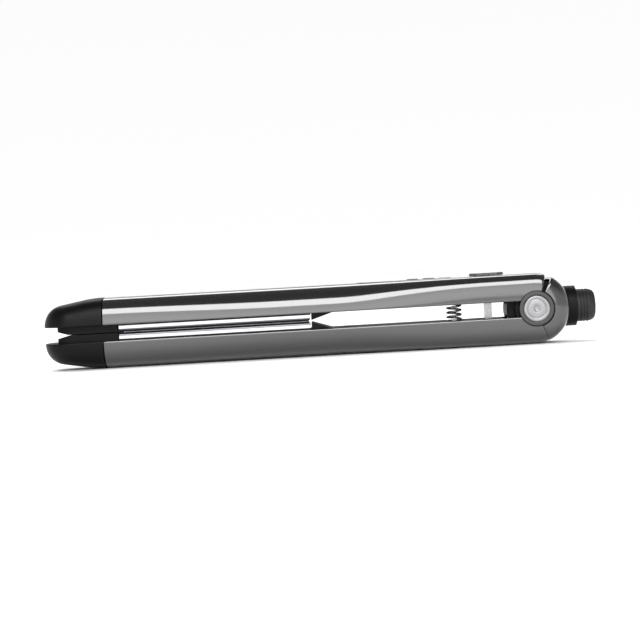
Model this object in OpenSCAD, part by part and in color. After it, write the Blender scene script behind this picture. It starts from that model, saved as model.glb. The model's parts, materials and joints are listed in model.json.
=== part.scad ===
// Flat iron for straightening hair: two sprung arms with floating heated plates, closed,
// lying on its lower arm. +X runs from the tips to the cord gland, +Z is up, and the origin is
// on the surface that the iron lies on, under the middle of its length.

/* [Overall] */
// Length from the tips to the end of the cord gland
length = 290; // [286:1:300]
// Height of one arm, from the plane where the plates meet to its crown
arm_height = 18.5; // [18.5:0.1:19]
// Width of the arms at the plates
arm_width = 35; // [35:0.5:37]
// Width of the arms at the hinge
tail_width = 29; // [29:0.5:30]
// Gap between the rims of the two shells when closed
arm_gap = 8.5; // [8:0.1:8.8]
// Wall thickness of the shells
wall = 2; // [1.8:0.1:2]
// Radius of the shells' long outer edges
edge_round = 11; // [10.5:0.1:11]
// Distance from the tips at which the arms begin to narrow
taper_start = 155; // [153:1:165]

/* [Cool tips] */
// Length of the cool tips
tip_len = 32; // [30:0.5:33]
// Radius of the nose, seen from the side
nose_round = 11; // [10:0.5:11.5]
// Slope of the tip behind the nose, in degrees
nose_slope = 10; // [9:0.5:12]
// Radius of the nose's corners, seen from above
nose_plan_round = 14; // [12:0.5:15]
// Distance from the nose to the raised inner block
block_start = 7.7; // [7:0.1:9]

/* [Heated plates] */
// Distance from the tips to the plates
plate_start = 40; // [39:0.5:42]
// Length of a plate
plate_len = 100; // [98:0.5:100]
// Width of a plate
plate_width = 25; // [24:0.1:25]
// Clearance between the two plates when closed
plate_gap = 0.3; // [0.2:0.05:0.5]
// Radius of a plate's long edges
plate_edge = 1.7; // [1:0.1:2]
// Distance a plate can float into its arm
plate_float = 0.8; // [0.4:0.1:0.8]

/* [Hinge] */
// Distance from the hinge axis to the end of the cord gland
hinge_back = 32; // [31:0.5:33]
// Radius of the hinge pin
pin_r = 2; // [1.6:0.1:2.4]
// Radius of the hinge discs
disc_r = 9; // [8.5:0.1:9]
// Largest opening angle of the arms, in degrees
arm_opening = 10; // [8:0.5:11]
// Distance of the opening spring ahead of the hinge axis
spring_ahead = 42; // [41:0.5:43]
// Outer radius of the opening spring
spring_r = 4.2; // [3.5:0.1:4.4]
// Turns of the opening spring
spring_turns = 7; // [5:1:8]

/* [Cord swivel] */
// Radius of the hole for the cord
cord_hole_r = 3.4; // [3:0.1:3.6]
// Radius of the gland's running stem
stem_r = 6.4; // [6.2:0.1:6.6]
// Radial running clearance of the hinge pin and of the stem
running_clearance = 0.05; // [0.03:0.01:0.08]

/* [Controls] */
// Radius of the push buttons
button_r = 3.1; // [2.8:0.1:3.2]
// Travel of the push buttons
button_travel = 0.6; // [0.3:0.1:0.6]
// Travel of the lock slider
lock_travel = 4; // [3:0.5:4]

/* [Hidden] */

// In the arm's own frame X is the distance from the tips, and Z the distance from the plane
// where the plates meet, outwards.
half_width = arm_width / 2;
tail_half = tail_width / 2;
rim = arm_gap / 2;
fit = 0.15;
seam = 0.3;
round_fn = 64;
far = 60;
inner_crown = arm_height - wall;
hinge_x = length - hinge_back;

// Nose: a round front, with its centre just above the rim, and a sloping top
nose_centre = 4.7;

// Inner block of the tips and the tray that holds a plate
block_inset = 4.2;
block_face = 0.2;
block_nose = 1.8;
block_ramp = 5.9;
tray_top = rim + 0.35;
tray_half = half_width - wall - 0.3;
tray_web = 12;
tray_window = plate_width / 2 + 0.7;
tray_side = 8.5;
tray_bottom = 13.1;
tray_bottom_half = 13.1;
plate_end = plate_start + plate_len;
tray_front = plate_start - 0.5;
tray_rear = plate_end + 0.5;
tray_end = plate_end + 12;
ramp_top = 0.6;

// Stack behind a plate
plate_face = plate_gap / 2;
plate_back = 3.2;
skirt_end = 5;
skirt_wall = 1;
channel_in = 7.5;
channel_out = 9.5;
channel_top = 8.6;
channel_lip = 7.4;
channel_lip_in = 6.6;
tray_floor = channel_top + plate_float + 2.2;
heater_half = 7.3;
heater_from = plate_back + 0.1;
heater_to = 5.3;
insulator_thick = 0.2;
pad_len = 8;
pad_width = 2.2;
pad_inset = 12;
thermistor_r = 0.8;
thermistor_x = 90;
thermistor_rise = 6.8;

// Wires
wire_r = 0.9;
wire_thin_r = 0.3;
wire_y = 4;
wire_low = 9.6;
wire_high = 12.2;

// Handle cover and screws
cover_thick = 2;
cover_start = tray_end + 0.2;
cover_end = hinge_x - 16.5;
shank_r = 1.25;
boss_hole_r = 1.3;
boss_r = 3;
head_r = 2.5;
head_h = 1.5;
screw_len = 9;
sink_r = 2.8;
tip_screw_x = 20;
ramp_screw_x = plate_end + 6;
front_screw_x = 160;
rear_screw_x = 230;
rear_screw_y = 9.2;
cup_r = 6.2;
cup_hole_r = 5;
cup_floor = 10;
cup_end = 11.2;
spring_x = hinge_x - spring_ahead;
spring_wire_r = 0.55;

// Hinge
disc_fit = 0.4;
ear_in = 11.3;
ear_out = 14.4;
ear_recess = 13.2;
strap_thick = 1.1;
strap_front = hinge_x - 21.5;
strap_back = hinge_x - 17;
strap_step = rim + cover_thick + 0.3;
strap_low = 12;
strap_high = 13.5;
bracket_screw_y = 8;
core_r = 15;
core_half = 8;
core_hub_r = 11;
core_hub_half = 10.9;
nozzle_r = 10.6;
nozzle_end = length - 10;
foot_half = 6;
flange_half = 10.6;
flange_low = 12;
flange_high = 14;
core_screw_x = hinge_x - 17;
core_screw_y = 8;
slot_low = 3.2;
slot_high = 7.4;
slot_half = 6.4;
wrap_angle = 18;
housing_angle = wrap_angle + arm_opening + 1.5;
bush_r = 3.6;
cap_r = 6.9;
cap_bulge = 0.4;

// Swivel, along X from the hinge
cavity_r = 8.4;
cavity_start = hinge_x + 3.5;
retainer_start = hinge_x + 13;
retainer_r = 9;
stem_front = hinge_x + 4;
stem_front_r = 4.6;
flange_start = hinge_x + 10.7;
flange_end = hinge_x + 12.7;
flange_r = 8.2;
collar_start = nozzle_end + seam;
collar_r = 8.6;
collar_end_r = 7;
collar_cone = 4;
ring_w = 1.6;
ring_r = 5.3;
ring_gap = 0.4;
ring_starts = [hinge_x + 5, hinge_x + 8];

// Controls on top of the upper handle
panel_start = 164;
panel_end = 218;
panel_half = 6;
window_start = 168;
window_end = 188;
window_half = 4.5;
window_thick = 0.6;
window_hole_inset = 1;
down_x = 195;
up_x = 203.5;
power_x = 212;
lens_x = 207.7;
lens_y = 3.9;
lens_r = 0.7;
button_fit = 0.2;
button_proud = 0.4;
button_flange_r = 3.9;
button_flange_low = 15.6;
button_flange_high = 16.3;
board_start = 166;
board_end = 222;
board_half = 8;
board_low = 12.4;
board_high = 14;
switch_size = 5;
switch_top = button_flange_low - button_travel - 0.1;
display_top = 16.2;

// Lock: a knob on top of the upper arm, with a hook that reaches into the lower arm
stem_start = hinge_x - 26;
stem_end = hinge_x - 22;
stem_half = 1.9;
stem_top = arm_height + 0.8;
foot_start = stem_start - 3;
foot_low = -8;
foot_high = -6.6;
lock_flange_half = 4;
lock_flange_low = 15.4;
lock_flange_high = 16.3;
lock_slot_start = foot_start - 1.4;
lock_slot_end = stem_end + 1.4;
lock_slot_half = 2.4;
knob_start = hinge_x - 33;
knob_end = hinge_x - 15;
knob_half = 4.5;
knob_low = arm_height + 0.1;
knob_top = arm_height + 1.4;
knob_ridges = 5;
knob_ridge_pitch = 2.2;

// ---- placing and extruding ----

// Puts an upper-arm or lower-arm piece in the iron's frame
module on_arm(upper) {
    translate([-length / 2, 0, arm_height])
        if (upper) {
            children();
        } else {
            mirror([0, 0, 1]) children();
        }
}

// Extrudes an outline drawn in Y and Z along X
module along_x(from, to) {
    translate([from, 0, 0]) rotate([90, 0, 90]) linear_extrude(to - from) children();
}

// Extrudes an outline drawn in X and Z along Y
module along_y(from, to) {
    translate([0, to, 0]) rotate([90, 0, 0]) linear_extrude(to - from) children();
}

module rod_x(r, from, to) {
    translate([from, 0, 0]) rotate([0, 90, 0]) cylinder(r = r, h = to - from, $fn = round_fn);
}

module rod_y(r, from, to) {
    translate([0, to, 0]) rotate([90, 0, 0]) cylinder(r = r, h = to - from, $fn = round_fn);
}

module disc_at(r, x, z) {
    translate([x, z]) circle(r = r, $fn = round_fn);
}

// A box between two corners
module block(low, high) {
    translate(low) cube(high - low);
}

// The same piece on both sides of the iron
module both_sides() {
    children();
    mirror([0, 1, 0]) children();
}

// A wire through a list of points that runs mainly along X, with a ring of corners at each point
module wire(points, r) {
    sides = 10;
    last = len(points) - 1;
    rings = [
        for (i = [0 : last])
            let (
                along = points[min(i + 1, last)] - points[max(i - 1, 0)],
                up = cross(along, [0, 1, 0]) / norm(cross(along, [0, 1, 0]))
            )
            for (j = [0 : sides - 1])
                points[i] + r * (cos(j * 360 / sides) * [0, 1, 0] + sin(j * 360 / sides) * up)
    ];
    skin = [
        for (i = [0 : last - 1], j = [0 : sides - 1])
            let (k = (j + 1) % sides)
            [i * sides + j, (i + 1) * sides + j, (i + 1) * sides + k, i * sides + k]
    ];
    ends = [
        [for (j = [0 : sides - 1]) j],
        [for (j = [0 : sides - 1]) last * sides + sides - 1 - j]
    ];
    polyhedron(rings, concat(skin, ends));
}

// ---- outlines of an arm, each drawn inset from its outer surface ----

module cross_outline(inset) {
    r = edge_round - inset;
    half = half_width - inset;
    top = arm_height - inset;
    union() {
        translate([-half, -inset]) square([2 * half, top - r + inset]);
        translate([-(half - r), -inset]) square([2 * (half - r), top + inset]);
        for (side = [-1, 1]) {
            disc_at(r, side * (half - r), top - r);
        }
    }
}

module side_outline(inset) {
    r = nose_round - inset;
    top = arm_height - inset;
    touch = [nose_round - r * sin(nose_slope), nose_centre + r * cos(nose_slope)];
    slope_end = touch.x + (top - touch.y) / tan(nose_slope);
    union() {
        polygon([
            [inset, -1], [inset, nose_centre], touch, [slope_end, top], [hinge_x, top],
            [hinge_x, -1]
        ]);
        disc_at(r, nose_round, nose_centre);
        disc_at(top, hinge_x, 0);
    }
}

module plan_outline(inset) {
    half = half_width - inset;
    tail = tail_half - inset;
    flat = half_width - nose_plan_round;
    union() {
        polygon([
            [nose_plan_round, -half], [taper_start, -half], [hinge_x, -tail], [length, -tail],
            [length, tail], [hinge_x, tail], [taper_start, half], [nose_plan_round, half]
        ]);
        translate([inset, -flat]) square([nose_plan_round, 2 * flat]);
        for (side = [-1, 1]) {
            disc_at(nose_plan_round - inset, nose_plan_round, side * flat);
        }
    }
}

// The solid form of one arm between two distances from the tips
module arm_form(inset, from, to) {
    intersection() {
        along_x(from, to) cross_outline(inset);
        along_y(-far, far) side_outline(inset);
        translate([0, 0, -1]) linear_extrude(far) plan_outline(inset);
    }
}

// Everything further in than the rim of a shell
module inside_rim() {
    block([-1, -far, -far], [length, far, rim]);
}

// Everything behind a plane that leans back from the hinge axis
module behind_hinge(angle) {
    along_y(-far, far) polygon([
        [hinge_x, 0], [hinge_x + far * tan(angle), far], [length + far, far],
        [length + far, -far], [hinge_x, -far]
    ]);
}

// ---- screws ----

module screw(x, y, head) {
    translate([x, y, head]) {
        difference() {
            union() {
                cylinder(r = head_r, h = head_h, $fn = round_fn);
                cylinder(r = shank_r, h = screw_len, $fn = round_fn);
            }
            for (turn = [0, 90]) {
                rotate([0, 0, turn]) translate([-1.5, -0.3, -1]) cube([3, 0.6, 1.7]);
            }
        }
    }
}

// A boss that a screw bites into, from a height out to the shell's inner face
module screw_boss(x, y, from) {
    difference() {
        translate([x, y, from]) cylinder(r = boss_r, h = inner_crown + 0.2 - from, $fn = round_fn);
        boss_hole(x, y, from);
    }
}

module boss_hole(x, y, from) {
    translate([x, y, from - 1]) {
        cylinder(r = boss_hole_r, h = inner_crown - from, $fn = round_fn);
    }
}

// A stepped hole: a wide mouth from the face to a depth, then the shank's hole
module sunk_hole(x, y, face, depth) {
    translate([x, y, face - 1]) cylinder(r = sink_r, h = depth - face + 1, $fn = round_fn);
    translate([x, y, face - 1]) cylinder(r = boss_hole_r + 0.1, h = 12, $fn = round_fn);
}

module arm_screws() {
    screw(tip_screw_x, 0, 0.7);
    screw(ramp_screw_x, 0, 3.4);
    screw(front_screw_x, 0, rim + 0.2);
    screw(rear_screw_x, rear_screw_y, rim + 0.2);
    screw(rear_screw_x, -rear_screw_y, rim + 0.2);
}

// ---- shells and tips ----

module shell_body() {
    difference() {
        union() {
            difference() {
                arm_form(0, tip_len + seam, length);
                arm_form(wall, tip_len - 1, length + 1);
            }
            screw_boss(ramp_screw_x, 0, tray_side + 0.1);
            screw_boss(front_screw_x, 0, rim + cover_thick + 1.6);
            screw_boss(rear_screw_x, rear_screw_y, rim + cover_thick + 1.6);
            screw_boss(rear_screw_x, -rear_screw_y, rim + cover_thick + 1.6);
        }
        inside_rim();
        behind_hinge(wrap_angle);
        for (side = [-1, 1]) {
            translate([hinge_x, 0, 0])
                rod_y(disc_r + disc_fit, side > 0 ? ear_in - fit : -far, side > 0 ? far : fit - ear_in);
        }
    }
}

module short_boss(x, y, from) {
    difference() {
        translate([x, y, from]) cylinder(r = 2.6, h = inner_crown + 0.2 - from, $fn = round_fn);
        boss_hole(x, y, from);
    }
}

module lower_shell() {
    color([0.05, 0.05, 0.06]) on_arm(false) {
        shell_body();
        short_boss(core_screw_x, core_screw_y, flange_high);
        short_boss(core_screw_x, -core_screw_y, flange_high);
    }
}

module panel_outline(extra) {
    r = panel_half + extra;
    union() {
        translate([panel_start + panel_half, -r]) {
            square([panel_end - panel_start - 2 * panel_half, 2 * r]);
        }
        disc_at(r, panel_start + panel_half, 0);
        disc_at(r, panel_end - panel_half, 0);
    }
}

module upper_shell() {
    color([0.05, 0.05, 0.06]) on_arm(true) {
        difference() {
            shell_body();
            translate([0, 0, inner_crown - 1]) linear_extrude(far) panel_outline(fit);
            block(
                [stem_start - lock_travel - 0.6, -stem_half - 0.3, inner_crown - 1],
                [stem_end + 0.6, stem_half + 0.3, arm_height + 1]
            );
        }
        short_boss(strap_back - 2.5, bracket_screw_y, strap_high);
        short_boss(strap_back - 2.5, -bracket_screw_y, strap_high);
    }
}

module block_outline(extra) {
    intersection() {
        plan_outline(block_inset + extra);
        translate([block_start + extra, -far]) square([length, 2 * far]);
    }
}

module tip_cap() {
    deck = rim + wall;
    difference() {
        union() {
            difference() {
                arm_form(0, 0, tip_len);
                intersection() {
                    arm_form(wall, 0, tip_len + 1);
                    block([0, -far, deck], [tip_len + 1, far, far]);
                }
            }
            translate([tip_screw_x, 0, tray_side + 0.1]) {
                cylinder(r = boss_r, h = 7, $fn = round_fn);
            }
        }
        inside_rim();
        translate([0, 0, rim - 1]) linear_extrude(wall + 2) block_outline(0);
        boss_hole(tip_screw_x, 0, tray_side);
    }
}

module lower_tip() {
    color([0.12, 0.12, 0.13]) on_arm(false) tip_cap();
}

module upper_tip() {
    color([0.12, 0.12, 0.13]) on_arm(true) tip_cap();
}

// ---- plate frame ----

module tray_outline(hollow) {
    difference() {
        polygon([
            [tray_half, tray_top], [tray_half, tray_side], [tray_bottom_half, tray_bottom],
            [-tray_bottom_half, tray_bottom], [-tray_half, tray_side], [-tray_half, tray_top]
        ]);
        if (hollow) {
            translate([-tray_window, 0]) square([2 * tray_window, tray_top + 2]);
            translate([-tray_web, 0]) square([2 * tray_web, tray_floor]);
        }
    }
}

module plate_frame() {
    difference() {
        union() {
            intersection() {
                linear_extrude(tray_side) block_outline(fit);
                along_y(-far, far) polygon([
                    [block_start, tray_side], [block_start, block_nose],
                    [block_start + block_ramp, block_face], [tray_front, block_face],
                    [tray_front, tray_side]
                ]);
            }
            intersection() {
                along_x(tip_len + seam, tray_front) tray_outline(false);
                block([0, -far, 0], [length, far, tray_side]);
            }
            along_x(tray_front - 0.1, tray_rear + 0.1) tray_outline(true);
            intersection() {
                along_x(tray_rear, tray_end) tray_outline(false);
                block([0, -far, 0], [length, far, tray_side]);
            }
            along_y(-plate_width / 2, plate_width / 2) polygon([
                [tray_rear, tray_side], [tray_rear, ramp_top], [tray_end, rim],
                [tray_end, tray_side]
            ]);
        }
        sunk_hole(tip_screw_x, 0, block_face, 2.2);
        sunk_hole(ramp_screw_x, 0, 0, 4.9);
    }
}

module lower_plate_frame() {
    color([0.08, 0.08, 0.08]) on_arm(false) plate_frame();
}

module upper_plate_frame() {
    color([0.08, 0.08, 0.08]) on_arm(true) plate_frame();
}

module insulator() {
    block(
        [plate_start + 2, -tray_web + 0.5, tray_floor - insulator_thick],
        [plate_end - 2, tray_web - 0.5, tray_floor]
    );
}

module lower_insulator() {
    color([0.75, 0.68, 0.5]) on_arm(false) insulator();
}

module upper_insulator() {
    color([0.75, 0.68, 0.5]) on_arm(true) insulator();
}

module float_pads() {
    rail = (channel_in + channel_out) / 2;
    for (x = [plate_start + pad_inset, plate_end - pad_inset], y = [-rail, rail]) {
        block(
            [x - pad_len / 2, y - pad_width / 2, channel_top],
            [x + pad_len / 2, y + pad_width / 2, tray_floor - insulator_thick]
        );
    }
}

module lower_float_pads() {
    color([0.75, 0.25, 0.15]) on_arm(false) float_pads();
}

module upper_float_pads() {
    color([0.75, 0.25, 0.15]) on_arm(true) float_pads();
}

// ---- heated plate and what moves with it ----

module plate_outline() {
    half = plate_width / 2;
    union() {
        translate([-half, plate_face + plate_edge]) {
            square([2 * half, plate_back - plate_face - plate_edge]);
        }
        translate([plate_edge - half, plate_face]) square([2 * (half - plate_edge), plate_edge + 1]);
        for (side = [-1, 1]) {
            disc_at(plate_edge, side * (half - plate_edge), plate_face + plate_edge);
        }
        for (side = [0, 1]) {
            mirror([side, 0]) {
                translate([half - skirt_wall, plate_back - 1]) {
                    square([skirt_wall, skirt_end - plate_back + 1]);
                }
                translate([channel_in, plate_back - 1]) {
                    square([channel_out - channel_in, channel_top - plate_back + 1]);
                }
                translate([channel_lip_in, channel_lip]) {
                    square([channel_in - channel_lip_in + 0.1, channel_top - channel_lip]);
                }
            }
        }
    }
}

module plate_body() {
    intersection() {
        along_x(plate_start, plate_end) plate_outline();
        along_y(-far, far) union() {
            translate([plate_start, plate_face + plate_edge]) square([plate_len, far]);
            translate([plate_start + plate_edge, plate_face]) {
                square([plate_len - 2 * plate_edge, far]);
            }
            disc_at(plate_edge, plate_start + plate_edge, plate_face + plate_edge);
            disc_at(plate_edge, plate_end - plate_edge, plate_face + plate_edge);
        }
    }
}

module lower_plate() {
    color([0.62, 0.62, 0.66]) on_arm(false) plate_body();
}

module upper_plate() {
    color([0.62, 0.62, 0.66]) on_arm(true) plate_body();
}

// The ceramic strip and the two insulated tails that leave its rear end
module heater() {
    strip_end = plate_end - 10;
    tail_y = 3;
    tail_r = 0.8;
    mid = (heater_from + heater_to) / 2;
    block([plate_start + 10, -heater_half, heater_from], [strip_end, heater_half, heater_to]);
    for (side = [-1, 1]) {
        wire([
            [strip_end - 1, side * tail_y, mid], [strip_end + 3, side * tail_y, mid],
            [strip_end + 7.5, side * wire_y, wire_low],
            [plate_end + 1.8, side * wire_y, wire_low]
        ], tail_r);
    }
}

module lower_heater() {
    color([0.9, 0.88, 0.82]) on_arm(false) heater();
}

module upper_heater() {
    color([0.9, 0.88, 0.82]) on_arm(true) heater();
}

// A bent strip of spring steel that presses the heater against the plate
module heater_clip() {
    low = heater_to + 0.1;
    wing = heater_half - 0.1;
    along_x(plate_start + 12, plate_end - 12) polygon([
        [-wing, channel_lip - 0.1], [-wing, channel_lip - 0.5], [-4, low], [4, low],
        [wing, channel_lip - 0.5], [wing, channel_lip - 0.1], [3.8, low + 0.4],
        [-3.8, low + 0.4]
    ]);
}

module lower_heater_clip() {
    color([0.7, 0.7, 0.7]) on_arm(false) heater_clip();
}

module upper_heater_clip() {
    color([0.7, 0.7, 0.7]) on_arm(true) heater_clip();
}

module thermistor() {
    bead_len = 5;
    bead_end = thermistor_x + bead_len;
    translate([0, 0, thermistor_rise]) rod_x(thermistor_r, thermistor_x, bead_end);
    for (side = [-1, 1]) {
        wire([
            [bead_end - 0.5, side * 0.4, thermistor_rise],
            [bead_end + 2, side * 0.6, thermistor_rise],
            [plate_end - 2, side * 0.6, thermistor_rise]
        ], wire_thin_r);
    }
}

module lower_thermistor() {
    color([0.2, 0.2, 0.25]) on_arm(false) thermistor();
}

module upper_thermistor() {
    color([0.2, 0.2, 0.25]) on_arm(true) thermistor();
}

// ---- handle ----

module handle_cover() {
    back = rim + cover_thick;
    difference() {
        union() {
            intersection() {
                translate([0, 0, rim]) linear_extrude(cover_thick) plan_outline(wall + fit);
                block([cover_start, -far, 0], [cover_end, far, far]);
            }
            translate([spring_x, 0, rim]) cylinder(r = cup_r, h = cup_end - rim, $fn = round_fn);
            for (p = [[front_screw_x, 0], [rear_screw_x, rear_screw_y], [rear_screw_x, -rear_screw_y]]) {
                translate([p.x, p.y, back - 0.1]) cylinder(r = boss_r, h = 1.6, $fn = round_fn);
            }
        }
        translate([spring_x, 0, 0]) cylinder(r = cup_hole_r, h = cup_floor, $fn = round_fn);
        for (p = [[front_screw_x, 0], [rear_screw_x, rear_screw_y], [rear_screw_x, -rear_screw_y]]) {
            sunk_hole(p.x, p.y, rim, rim + 0.2 + head_h);
        }
        block([lock_slot_start, -lock_slot_half, 0], [lock_slot_end, lock_slot_half, far]);
    }
}

module lower_handle_cover() {
    color([0.1, 0.1, 0.1]) on_arm(false) handle_cover();
}

module upper_handle_cover() {
    color([0.1, 0.1, 0.1]) on_arm(true) handle_cover();
}

module lower_leads() {
    color([0.85, 0.85, 0.8]) on_arm(false) both_sides() {
        wire([
            [plate_end + 2, wire_y, wire_low], [plate_end + 12, wire_y, wire_low],
            [plate_end + 18, wire_y, wire_high], [hinge_x - 24, wire_y, wire_high],
            [hinge_x - 17, wire_y, 8.4], [hinge_x - 13, wire_y, 5.3],
            [hinge_x - 5, wire_y, 5.3]
        ], wire_r);
    }
}

module upper_leads() {
    color([0.85, 0.85, 0.8]) on_arm(true) both_sides() {
        wire([
            [plate_end + 2, wire_y, wire_low], [plate_end + 12, wire_y, wire_low],
            [plate_end + 20, wire_y, board_low - wire_r - 0.05],
            [board_start + 4, wire_y, board_low - wire_r - 0.05]
        ], wire_r);
        for (y = [3.2, 5.2]) {
            wire([
                [board_end + 0.4, y, board_low + 0.8], [board_end + 3, y, board_low - 0.2],
                [hinge_x - 26, y, 10]
            ], 0.8);
        }
    }
}

module lower_screws() {
    color([0.6, 0.6, 0.6]) on_arm(false) arm_screws();
}

module upper_screws() {
    color([0.6, 0.6, 0.6]) on_arm(true) arm_screws();
}

// A cut-out clipped beside the lower leads, with its own two short tails
module thermal_fuse() {
    color([0.8, 0.7, 0.45]) on_arm(false) translate([0, wire_y + 4, wire_high - 2]) {
        rod_x(1.8, 176, 186);
        rod_x(0.5, 171, 191);
    }
}

// ---- hinge ----

module hinge_core() {
    color([0.1, 0.1, 0.11]) on_arm(true) difference() {
        union() {
            translate([hinge_x, 0, 0]) {
                rod_y(core_r, -core_half, core_half);
                rod_y(core_hub_r, -core_hub_half, core_hub_half);
            }
            rod_x(nozzle_r, hinge_x, nozzle_end);
            block([hinge_x - 12, -foot_half, -inner_crown], [hinge_x, foot_half, -core_hub_r]);
            block(
                [strap_front + 1, -flange_half, -flange_high],
                [hinge_x - 7, flange_half, -flange_low]
            );
        }
        translate([hinge_x, 0, 0]) rod_y(pin_r + 0.02, -far, far);
        rod_x(cavity_r, cavity_start, retainer_start);
        rod_x(retainer_r, retainer_start - 0.1, length);
        for (low = [slot_low, -slot_high]) {
            block(
                [hinge_x - core_r - 1, -slot_half, low],
                [cavity_start + 1, slot_half, low + slot_high - slot_low]
            );
        }
        for (side = [-1, 1]) {
            translate([core_screw_x, side * core_screw_y, -far]) {
                cylinder(r = boss_hole_r + 0.1, h = 2 * far, $fn = round_fn);
            }
        }
    }
}

module core_screws() {
    color([0.6, 0.6, 0.6]) on_arm(false) {
        for (side = [-1, 1]) {
            translate([0, 0, flange_low - head_h]) short_screw(core_screw_x, side * core_screw_y);
        }
    }
}

module short_screw(x, y) {
    translate([x, y, 0]) difference() {
        union() {
            cylinder(r = head_r, h = head_h, $fn = round_fn);
            cylinder(r = shank_r, h = 5, $fn = round_fn);
        }
        for (turn = [0, 90]) {
            rotate([0, 0, turn]) translate([-1.5, -0.3, -1]) cube([3, 0.6, 1.7]);
        }
    }
}

// The round end behind the hinge, around the nozzle
module tail_housing() {
    color([0.05, 0.05, 0.06]) on_arm(true) difference() {
        intersection() {
            both_halves() arm_form(0, hinge_x - 5, length);
            along_y(-far, far) polygon([
                [hinge_x, 0], [hinge_x + far * tan(housing_angle), far], [length + far, far],
                [length + far, -far], [hinge_x + far * tan(wrap_angle + 0.6), -far]
            ]);
        }
        both_halves() arm_form(wall, hinge_x - 6, length + 1);
        rod_x(nozzle_r + 0.05, hinge_x, length + far);
        translate([hinge_x, 0, 0]) rod_y(disc_r + disc_fit, -far, far);
    }
}

module both_halves() {
    union() {
        children();
        mirror([0, 0, 1]) children();
    }
}

module at_hinge() {
    translate([hinge_x - length / 2, 0, arm_height]) children();
}

module hinge_pin() {
    color([0.75, 0.75, 0.77]) at_hinge() rod_y(pin_r, -ear_recess + 0.1, ear_recess - 0.1);
}

module ring_y(outer, inner, from, to) {
    difference() {
        rod_y(outer, from, to);
        rod_y(inner, from - 1, to + 1);
    }
}

module hinge_washers() {
    color([0.9, 0.9, 0.85]) at_hinge() both_sides() {
        ring_y(5.5, pin_r + 0.1, core_hub_half + 0.03, ear_in - 0.05);
    }
}

module hinge_bushes() {
    color([0.72, 0.55, 0.3]) at_hinge() both_sides() {
        ring_y(bush_r - 0.02, pin_r + running_clearance, ear_in, ear_recess);
    }
}

// Two ears that turn on the pin, joined by a strap under the upper crown
module hinge_bracket() {
    color([0.3, 0.3, 0.32]) on_arm(true) difference() {
        union() {
            both_sides() {
                translate([hinge_x, 0, 0]) rod_y(disc_r, ear_in, ear_out);
                along_y(ear_in, ear_in + strap_thick) polygon([
                    [strap_front, strap_step], [cover_end + 0.6, strap_step],
                    [cover_end + 0.6, rim + 0.2], [hinge_x - 5, rim + 0.2], [hinge_x, 4],
                    [hinge_x, disc_r + 1.5], [strap_back, strap_high], [strap_front, strap_high]
                ]);
            }
            block(
                [strap_front, -ear_in - 0.1, strap_low],
                [strap_back, ear_in + 0.1, strap_high]
            );
        }
        translate([hinge_x, 0, 0]) {
            rod_y(bush_r, -far, far);
            both_sides() rod_y(cap_r + 0.1, ear_recess, far);
        }
        for (side = [-1, 1]) {
            translate([strap_back - 2.5, side * bracket_screw_y, 0]) {
                cylinder(r = boss_hole_r + 0.1, h = far, $fn = round_fn);
            }
        }
    }
}

module bracket_screws() {
    color([0.6, 0.6, 0.6]) on_arm(true) {
        for (side = [-1, 1]) {
            translate([0, 0, strap_low - head_h]) {
                short_screw(strap_back - 2.5, side * bracket_screw_y);
            }
        }
    }
}

module hinge_caps() {
    color([0.55, 0.55, 0.57]) at_hinge() both_sides() {
        rotate([-90, 0, 0]) {
            translate([0, 0, ear_recess + 0.05]) {
                cylinder(r = cap_r, h = ear_out - ear_recess - 0.05, $fn = round_fn);
            }
            translate([0, 0, ear_out - 0.01]) {
                cylinder(r1 = cap_r, r2 = cap_r - 1, h = cap_bulge, $fn = round_fn);
            }
        }
    }
}

// A compression spring: closed end turns and an even pitch between them
module opening_spring() {
    steps = 18;
    sides = 8;
    span = 2 * (cup_floor - spring_wire_r) - 0.2;
    count = (spring_turns + 2) * steps;
    rise = function(i) let (
        turn = i / steps,
        closed = 2 * spring_wire_r
    ) turn < 1 ? turn * closed
        : turn > spring_turns + 1 ? span - (spring_turns + 2 - turn) * closed
        : closed + (turn - 1) * (span - 2 * closed) / spring_turns;
    points = [
        for (i = [0 : count], j = [0 : sides - 1])
            let (
                a = i * 360 / steps,
                b = j * 360 / sides,
                r = spring_r - spring_wire_r + spring_wire_r * cos(b)
            )
            [r * cos(a), r * sin(a), rise(i) - span / 2 + spring_wire_r * sin(b)]
    ];
    skin = [
        for (i = [0 : count - 1], j = [0 : sides - 1])
            let (k = (j + 1) % sides)
            [i * sides + j, i * sides + k, (i + 1) * sides + k, (i + 1) * sides + j]
    ];
    ends = [
        [for (j = [0 : sides - 1]) sides - 1 - j],
        [for (j = [0 : sides - 1]) count * sides + j]
    ];
    color([0.75, 0.75, 0.78]) translate([spring_x - length / 2, 0, arm_height]) {
        polyhedron(points, concat(skin, ends));
    }
}

// The four wires that bridge from the hinge core into the upper arm
module hinge_leads() {
    color([0.85, 0.85, 0.8]) on_arm(true) both_sides() {
        for (y = [3.2, 5.2]) {
            wire([
                [hinge_x - 6, y, 5.3], [hinge_x - 12.5, y, 5.3], [hinge_x - 17.5, y, 8.2],
                [hinge_x - 25.9, y, 10]
            ], 0.8);
        }
    }
}

// ---- cord swivel ----

module at_axis() {
    translate([-length / 2, 0, arm_height]) children();
}

module swivel_gland() {
    color([0.06, 0.06, 0.06]) at_axis() difference() {
        union() {
            rod_x(stem_front_r, stem_front, flange_start + 0.1);
            rod_x(flange_r, flange_start, flange_end);
            rod_x(stem_r, flange_end - 0.1, collar_start + 0.1);
            rod_x(collar_r, collar_start, length - collar_cone);
            translate([length - collar_cone, 0, 0]) rotate([0, 90, 0]) {
                cylinder(r1 = collar_r, r2 = collar_end_r, h = collar_cone, $fn = round_fn);
            }
        }
        rod_x(cord_hole_r, stem_front + 4, length + 1);
        rod_x(2.2, stem_front - 1, stem_front + 5);
    }
}

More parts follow.
